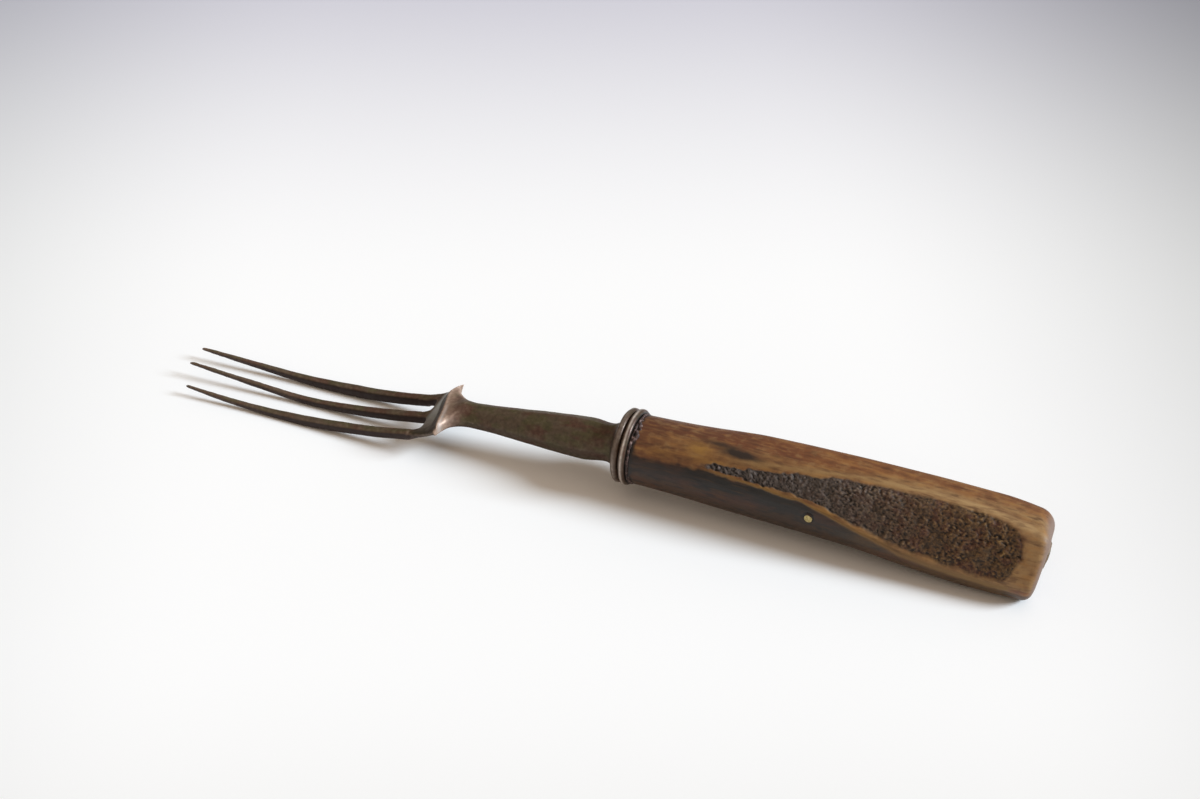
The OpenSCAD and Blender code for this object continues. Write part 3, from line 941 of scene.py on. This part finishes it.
def crust_ring():
    """A ring of crumbs: thick near the top and low down, shrunk to a black gap between."""
    bm = turned(arc(CRUST_X, CRUST_R, CRUST_THICK, 0, 345, 23), 320)
    places = places_of(bm)
    x, y, z = places.T
    radius = np.hypot(y, z)
    around = np.degrees(np.arctan2(z, y)) % 360
    upper = hump((around - 114) / 25)
    lower = hump((around - 213) / 22)
    middle = np.column_stack([0 * x + CRUST_X, y / radius * CRUST_R, z / radius * CRUST_R])
    crumbs = 0.8 * noise_at(places, 1.1, seed=4) + 0.5 * noise_at(places, 0.55, seed=5)
    size = (1 + crumbs) * (0.32 + 0.75 * upper + 0.5 * lower)
    places = middle + (places - middle) * size[:, None]
    places[:, 0] += 0.75 * upper + 0.4 * lower
    move(bm, on_tang(places))
    return bm


finish_piece(as_mesh(crust_ring(), "cement_crust"), "cutlers_cement", cement)

# %% [markdown]
# ## The antler handle
# The handle is a length of stag antler. Most of it was filed down to the dense, smooth layer, in
# soft facets. One long patch of bark, the rough grey and brown outside of the antler, was left
# on the near side. A real handle cutter starts from the round bar of antler, so the mesh starts
# as a spun bar with its stepped bore, and the facets, the bark and the wear come from formulas
# on the share of the length, u, and on the angle round the bar, 90 being up.

# %% The facets of the handle
FRONT_R = 7.05
HALF_H = 7.8
HALF_W = 7.9
SHARPNESS = 9
BOW = 0.4
SWAY = 1.1


def handle_r(u, a):
    """Radius of the handle at a share of its length and an angle in degrees."""
    grow = smooth((u - 0.05) / 0.75)
    turn = smooth((u - 0.4) / 0.36)
    end = smooth((u - 0.86) / 0.13)
    facets = [
        (45, mix(FRONT_R + 1.7, 13, smooth((u - 0.1) / 0.6)) - 2.9 * end),
        (90, mix(FRONT_R, HALF_H, grow) - 0.35 * end),
        (150, mix(FRONT_R + 0.3, 6.1, smooth((u - 0.4) / 0.35))),
        (mix(189, 200, turn), mix(FRONT_R + 0.1, 8.6, turn)),
        (232, mix(FRONT_R + 0.75, 9.75, smooth((u - 0.52) / 0.34)) - 0.65 * end),
        (270, mix(FRONT_R, HALF_H, grow)),
        (318, mix(FRONT_R + 0.6, 8.6, grow)),
        (0, mix(FRONT_R, HALF_W, grow)),
    ]
    total = 0
    for facet, distance in facets:
        total = total + (np.maximum(0, np.cos(np.radians(a - facet))) / distance) ** SHARPNESS
    return mix(FRONT_R, total ** (-1 / SHARPNESS), smooth(u / 0.3))


def edge_r(a):
    """Radius of the edge round the butt: wide on the far top corner, tight on the near side."""
    far_top = np.clip(np.cos(np.radians(a - 68)), 0, 1) ** 3
    near = np.clip(np.cos(np.radians(a - 175)), 0, 1) ** 2
    return 1.8 + 2.3 * far_top - 0.1 * near


# %% The bar as it comes off the saw and the drill
BODY = 1 - 2.2 / HANDLE_LEN
MARK_R = 10
BORE_R = 3.4
TAIL_HOLE_R = 1.45
BODY_STEPS = 380
EDGE_STEPS = 14
FACE_STEPS = 20
SIDES = 226


def bar_profile():
    """Outside, rounded edge, butt face and stepped bore. The outside is marked by its radius."""
    outside = [(HANDLE_LEN * BODY * i / BODY_STEPS, MARK_R) for i in range(BODY_STEPS + 1)]
    for i in range(1, EDGE_STEPS + 1):
        share = math.sin(QUARTER * i / EDGE_STEPS)
        outside.append((HANDLE_LEN * mix(BODY, 1, share), MARK_R + 0.01 * i))
    for i in range(FACE_STEPS + 1):
        inward = (i / FACE_STEPS) ** 0.8
        outside.append((HANDLE_LEN, mix(MARK_R - 0.1, TAIL_HOLE_R, inward)))
    return outside + [(BORE_DEPTH, TAIL_HOLE_R), (BORE_DEPTH, BORE_R), (0, BORE_R)]


bar = turned(bar_profile(), SIDES)
along, y, z = places_of(bar).T
mark = np.hypot(y, z)
u = along / HANDLE_LEN
# The points crowd together on the bark side, where the detail is.
dense = math.radians(145)
around = np.arctan2(z, y)
angle = np.degrees(around - 0.4 * np.sin(around - dense)) % 360
at_butt = u > 0.9999
inside = (mark < MARK_R - 0.05) & ~at_butt
outer = np.where(inside, 0, 1)
inward = np.clip((MARK_R - 0.1 - mark) / (MARK_R - 0.1 - TAIL_HOLE_R), 0, 1)
edge = edge_r(angle)
rounding = np.clip(1 - (1 - u) * HANDLE_LEN / edge, 0, 1)
bar_r = handle_r(u, angle) - edge * (1 - np.sqrt(1 - rounding**2))
bar_r = np.where(at_butt, mix(bar_r, TAIL_HOLE_R, inward), bar_r)
bar_r = np.where(inside, mark, bar_r)
cosine, sine = np.cos(np.radians(angle)), np.sin(np.radians(angle))
spots = np.column_stack([along, bar_r * cosine, bar_r * sine])
print("handle points:", len(along), "of which inside the bore:", int(inside.sum()))

# %% Where the zones of the antler run, as shares of the length and angles
BARK_TOP = [(0.16, 141), (0.28, 132), (0.43, 116), (0.57, 100), (0.72, 94), (0.84, 96), (0.95, 112)]
BARK_LOW = [(0.16, 146), (0.3, 149), (0.46, 153), (0.56, 171), (0.68, 189), (0.84, 195), (0.95, 197)]
RIDGE = [(0.18, 149), (0.33, 153), (0.44, 157), (0.56, 177), (0.68, 195), (0.8, 202), (0.95, 203)]
STAIN_TOP = [(0, 158), (0.15, 151), (0.33, 154), (0.42, 156), (0.5, 165)]
STAIN_TOP += [(0.6, 182), (0.8, 203), (1, 209)]
TAN_TOP = [(0, 112), (0.2, 103), (0.41, 95), (0.53, 82), (0.64, 71), (1, 71)]


def span(outline):
    """The angle of an outline at each point's share of the length."""
    shares, angles = zip(*outline)
    return np.interp(u, shares, angles)


def spot(share, degrees, long, wide):
    """A soft patch at one place on the handle, drawn out along it."""
    across = (angle + 0.7 * wander - degrees) / wide
    return hump((u - share) / long) * hump(across) * outer


ragged = mix(3, 1.4, smooth((u - 0.4) / 0.3))
wander = 3.5 * noise_at(spots, 3, seed=6) + ragged * noise_at(spots, 1.1, seed=7)
bark_top, bark_low = span(BARK_TOP), span(BARK_LOW)
off_middle = (angle - (bark_top + bark_low) / 2) / (bark_low - bark_top)
bark_end = 0.957 - 0.14 * np.clip(abs(off_middle), 0, 0.6) ** 2
ends = smooth((u - 0.16 + 0.003 * wander) / 0.06) * smooth((bark_end - u + 0.002 * wander) / 0.014)
soft = mix(4, 9.5, smooth((u - 0.4) / 0.3))
bark = smooth((bark_low + wander - angle) / soft + 0.3)
bark = bark * smooth((angle - bark_top + wander) / soft + 0.3) * ends * outer
on_bark = bark > 0.001
print("bark points:", int(on_bark.sum()))

# %% Bark crumbs, the ridge below them and the worked surface
PIN_SHARE = 37.9 / HANDLE_LEN
PIN_R = 0.95
LEFT_RECESS = 0.42
RIGHT_RECESS = 0.34


def crumbled(places, seed, coarse):
    """Grains of three sizes on a slow swell. Their tops are rounded and the pits between sharp."""
    grains = coarse * noise_at(places, 0.95, seed) + 0.22 * noise_at(places, 0.52, seed + 1)
    grains = grains + 0.12 * noise_at(places, 0.32, seed + 2)
    grains = grains * (1 + 0.7 * noise_at(places, 3.6, seed + 4))
    rounded = np.where(grains > 0, grains * 0.75, grains * 1.2)
    return 0.22 + rounded + 0.3 * noise_at(places, 2.4, seed + 3)


on_spots = spots[on_bark]
lean_spots = on_spots * [1.6, 1, 1] + on_spots[:, 2:] * [0.45, 0, 0]
to_right = smooth((u[on_bark] - 0.3) / 0.25)
bark_height = np.zeros(len(u))
left, right = crumbled(lean_spots, 20, 0.27), crumbled(on_spots * [0.9, 1, 1], 30, 0.17)
bark_height[on_bark] = mix(left, right, to_right)

to_butt = smooth((u - 0.5) / 0.3)
ridge = hump((angle - span(RIDGE) + 0.4 * wander) / mix(2.0, 4.8, to_butt))
ridge = ridge * smooth((u - 0.18) / 0.05) * smooth((0.96 - u) / 0.03) * outer
# The border above the bark is raised a little and coloured light, partly painted highlight.
rim = hump((angle - bark_top + mix(6, 9, u)) / mix(4, 6.5, u))
rim = rim * smooth((u - 0.2) / 0.1) * smooth((0.98 - u) / 0.04) * outer
worked = 0.06 * noise_at(spots * [0.3, 1, 1], 3.5, seed=11)
worked = worked + 0.02 * noise_at(spots * [0.15, 1, 1], 0.7, seed=12)
from_pin = np.hypot((u - PIN_SHARE) * HANDLE_LEN, bar_r * np.sin(np.radians(angle)))
pin_dip = hump((from_pin - PIN_R) / 0.28) * (abs(angle - 180) < 30) * outer
relief = bark * (bark_height - mix(LEFT_RECESS, RIGHT_RECESS, to_butt))
relief = relief + (1 - bark) * worked * smooth(u / 0.03)
relief = relief + 0.1 * ridge + 0.08 * rim - 0.22 * pin_dip
print("relief of the antler in mm:", relief.min().round(2), "to", relief.max().round(2))

# %% Bow and rake the bar, and set it on the tang
PORE_DEPTH = 0.16
LOWEST = 0.02
r = bar_r + relief * outer * np.where(at_butt, 1 - inward, 1)
follow = np.clip(r / 6, 0, 1) * outer
y = r * cosine - SWAY * smooth(u / 0.65) * follow
z = r * sine + BOW * np.sin(np.radians(230 * u)) * follow
lean = smooth((u - 0.6) / 0.36) * outer
x = handle_x + along + lean * (z * math.tan(RAKE) - y * math.tan(BUTT_SKEW))
pores = 0.5 + noise_at(np.column_stack([0 * y, y, z]), 0.7, seed=13)
core = at_butt * smooth(inward * 2.5)
x = x - core * PORE_DEPTH * pores
places = on_tang(np.column_stack([x, y, z]))
places[:, 2] = np.maximum(places[:, 2], LOWEST)
move(bar, places)
antler = as_mesh(bar, "antler_grip")

# %% Notes on the antler for its material
antler.update()
stain_top = span(STAIN_TOP)
fuzzy = smooth((0.32 - u) / 0.2)
stain = (angle - stain_top + mix(0.5, 1.3, fuzzy) * wander) / mix(4, 9, fuzzy)
stain = smooth(stain + 0.5) * smooth((300 - angle) / 30)
stain = stain * mix(1, 0.88, smooth((u - 0.46 + 0.012 * wander) / 0.2))
low = smooth((angle - stain_top - 24 + 2 * wander) / 14) * smooth((300 - angle) / 30)
tan = smooth((angle - span(TAN_TOP) + 1.5 * wander) / 16 + 0.5) * (angle < 200)
smudge = 1.3 * spot(0.262, 112, 0.042, 8.5) + 0.8 * spot(0.205, 102, 0.04, 7)
smudge = smudge + 0.5 * spot(0.31, 116, 0.035, 5)
gold = spot(0.165, 121, 0.03, 10) + 0.8 * spot(0.21, 136, 0.045, 5) + 0.6 * spot(0.33, 121, 0.03, 6)
gold = gold + 0.8 * spot(0.5, 163, 0.05, 5) + 0.5 * spot(0.08, 140, 0.03, 8)
zones = {"bark": bark, "ridge": ridge, "rim": rim, "stain": stain, "low": low, "tan": tan}
zones.update({"smudge": smudge, "gold": gold, "pin_dirt": pin_dip})
zones["butt"] = np.where(at_butt, 1, smooth((rounding - 0.35) / 0.5)) * outer
zones["core"] = core * smooth(0.9 * pores)
zones["front"] = smooth((0.014 - u + 0.002 * wander) / 0.012) * outer
for name, values in zones.items():
    note(antler, name, np.clip(values * outer, 0, 1))
note(antler, "along", u)
note(antler, "standing", height_over(antler, 8))
print("notes for the material:", len(antler.attributes))

# %% [markdown]
# ## Stag antler
# Filed antler is dense bone, and years of hands and smoke turn it from cream to red-brown. The colour
# runs in fine streaks along the handle, darker near the collar and tan beside the bark and at the
# butt, and the light border above the bark is partly painted highlight. The bark is darker in its
# creases, and its crumbs are grey near the collar and golden toward the butt, with painted highlight
# on their tips. The notes say where each colour goes, and noise breaks it.

# %% Colours of the worked zones
def along_ramp(tree, *hexes):
    """A colour that changes evenly from collar to butt."""
    last = len(hexes) - 1
    stops = [(i / last, linear(colour)) for i, colour in enumerate(hexes)]
    along = add(tree, "ShaderNodeAttribute", attribute_name="along").outputs["Fac"]
    return add(tree, "ShaderNodeValToRGB", {"Fac": along}, stops=stops).outputs[0]


def worked_antler(tree, streaks, clouds, flecks, patches):
    """The smooth zones: red-brown top, tan beside the bark, near-black stain below it."""
    stain_layers = [
        ("low", 0, 1, 1, along_ramp(tree, "412a1a", "372517", "382616", "33241a")),
        (clouds, 0.5, 0.64, 0.55, "47291b"),
        (flecks, 0.5, 0.36, 0.6, "0e0c0b"),
        (streaks, 0.56, 0.72, 0.35, "5a4028"),
    ]
    stain = along_ramp(tree, "2f2018", "1d1915", "231c16", "47351f", "4c3922")
    stain = painted(tree, stain, stain_layers)
    gold = broken_up(tree, "gold", flecks, 0.35, 0.6, 0.2, 0.9)
    # The light border above the bark: partly its worked colour, partly painted highlight.
    rim = broken_up(tree, "rim", flecks, 0.38, 0.58, 0.35, 1)
    layers = [
        ("tan", 0, 1, 1, along_ramp(tree, "6a4429", "805934", "8c693d", "92704a", "94744d")),
        (clouds, 0.45, 0.68, 0.6, "5c2f1d"),
        (patches, 0.5, 0.64, 0.3, "553520"),
        (patches, 0.48, 0.34, 0.3, "9c7c50"),
        (flecks, 0.52, 0.7, 0.5, "9a6c3a"),
        (flecks, 0.46, 0.32, 0.6, "47291b"),
        (streaks, 0.54, 0.78, 0.35, "a67f4c"),
        (streaks, 0.44, 0.26, 0.4, "452a1b"),
        (gold, 0, 1, 1, "966e35"),
        ("smudge", 0, 1, 1, "2c211b"),
        ("stain", 0, 1, 1, stain),
        (rim, 0, 1, 1, along_ramp(tree, "7a5a38", "8d6d45", "b59468")),
        ("ridge", 0, 1, 1, along_ramp(tree, "6e4f2e", "80602f", "765831", "7c6238")),
        ("butt", 0, 1, 1, "7c675b"),
        ("core", 0, 1, 1, "6f5d55"),
        ("pin_dirt", 0, 1, 1, "0e0b09"),
        ("front", 0, 1, 1, "1d1511"),
    ]
    top = along_ramp(tree, "563422", "673b23", "7b4c2a", "825633", "825838")
    return painted(tree, top, layers)


# %% Colours of the bark
def bark_colours(tree, fine, clouds):
    """Dark pits, grains from violet grey to golden brown, and light tips that are painted highlight.
    """
    pits = along_ramp(tree, "1e1b1c", "1e1a1a", "22170f", "281a10")
    grains = along_ramp(tree, "5e595b", "59524f", "52463f", "573e27", "5d4222")
    tips = along_ramp(tree, "a0959a", "968b8c", "8f8177", "9e7d4c", "a88347")
    ruddy = along_ramp(tree, "352c2a", "362d2a", "3f2c23", "482518", "482518")
    golden = along_ramp(tree, "7a7274", "756b6a", "7d6b57", "8a683c", "8a683c")
    layers = [
        ("standing", -0.08, 0.04, 1, grains),
        (clouds, 0.5, 0.62, 0.7, ruddy),
        (clouds, 0.48, 0.36, 0.5, "2a1f14"),
        # The light tips of the crumbs are painted highlight.
        ("standing", 0.05, 0.17, 0.6, tips),
        (fine, 0.46, 0.32, 0.4, golden),
        (fine, 0.52, 0.7, 0.6, "1b130e"),
    ]
    return painted(tree, pits, layers)


# %% Material of the handle
def stag_antler():
    """Hand-polished brown antler with its patch of bark."""
    material, tree, place = new_material("filed_stag_antler")
    drawn = add(tree, "ShaderNodeMapping", {0: place, "Scale": (0.1, 1, 1)}).outputs[0]
    long = add(tree, "ShaderNodeMapping", {0: place, "Scale": (0.3, 1, 1)}).outputs[0]
    kinds = ((drawn, 0.55, 7), (long, 3, 6), (long, 1, 5), (place, 2, 4), (place, 0.4, 6))
    patterns = []
    for source, size, detail in kinds:
        sockets = {0: source, "Scale": per_mm(size), "Detail": detail}
        patterns.append(add(tree, "ShaderNodeTexNoise", sockets).outputs[0])
    streaks, clouds, flecks, patches, fine = patterns

    layers = [
        ("bark", 0.15, 0.8, 1, bark_colours(tree, fine, patches)),
        ("standing", -0.05, -0.2, 0.8, "150f0b"),
    ]
    colour = painted(tree, worked_antler(tree, streaks, clouds, flecks, patches), layers)
    run = {"Value": streaks, "From Min": 0.3, "From Max": 0.7, "To Min": 0.42, "To Max": 0.56}
    shine = add(tree, "ShaderNodeMapRange", run).outputs[0]
    notes = {}
    for i, name in enumerate(("bark", "butt")):
        notes[i] = add(tree, "ShaderNodeAttribute", attribute_name=name).outputs["Fac"]
    matt = add(tree, "ShaderNodeMath", notes, operation="MAXIMUM").outputs[0]
    rough = add(tree, "ShaderNodeMix", {"Factor": matt, 2: shine, 3: 0.62}, data_type="FLOAT")
    height = add(tree, "ShaderNodeMath", {0: streaks, 1: fine}, operation="ADD").outputs[0]
    bump = add(tree, "ShaderNodeBump", {"Height": height, "Strength": 0.35, "Distance": 0.08 * MM})
    sockets = {"Base Color": colour, "Roughness": rough.outputs[0], "Specular IOR Level": 0.4}
    sockets["Normal"] = bump.outputs[0]
    return with_shader(material, "ShaderNodeBsdfPrincipled", sockets)


finish_piece(antler, "stag_antler", stag_antler(), "antler_handle")

# %% [markdown]
# ## Brass pin and steel rove
# A brass pin through handle and tang is filed flush, so only its pale oval end shows. At the
# butt the tang's tail is riveted over a small steel washer, called a rove. The pin's packed
# shape is right and gets its finish; the rove gets a chamfer and hammer marks.

# %% Brass of the pin
def filed_brass():
    """Old brass: soft yellow, dulled, with short file scratches."""
    material, tree, place = new_material("dull_filed_brass")
    scratches = add(tree, "ShaderNodeTexNoise", {0: place, "Scale": per_mm(0.3), "Detail": 6})
    stops = [(0.3, linear("8f7a45")), (0.65, linear("cdbd85"))]
    colour = add(tree, "ShaderNodeValToRGB", {"Fac": scratches.outputs[0]}, stops=stops)
    sockets = {"Base Color": colour.outputs[0], "Metallic": 0.5, "Roughness": 0.4}
    return with_shader(material, "ShaderNodeBsdfPrincipled", sockets)


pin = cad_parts["cross_pin"]
pin.data.materials.clear()
pin.data.materials.append(filed_brass())
print("the pin is now:", pin.data.materials[0].name)

# %% The rove
ROVE_R = 2.7
CHAMFER = 0.25
profile = [(0, TAIL_HOLE_R), (0, ROVE_R), (ROVE_T - CHAMFER, ROVE_R)]
profile += arc(ROVE_T - CHAMFER, ROVE_R - CHAMFER, CHAMFER, 90, 0, 5)
profile += [(ROVE_T, 2.1), (ROVE_T, TAIL_HOLE_R)]
bm = turned(profile, 72)
places = places_of(bm)
places[:, 0] -= 0.08 * smooth(places[:, 0] / ROVE_T) * abs(noise_at(places, 0.9, seed=14))
move(bm, on_tang(on_butt(places)))
rove = as_mesh(bm, "steel_rove")
note(rove, "rubbed_and_lit", np.full(len(rove.vertices), 0.35))
rove_steel = patinated_steel(
    "browned_rove_steel",
    film="6d5843",
    rust="5f442e",
    olive="5f523c",
    shaded_side_colour="3d3027",
    rubbed_and_lit="a38c74",
    metallic=0.3,
    shine=0.45,
)
finish_piece(rove, "rove_steel", rove_steel, "butt_rove")
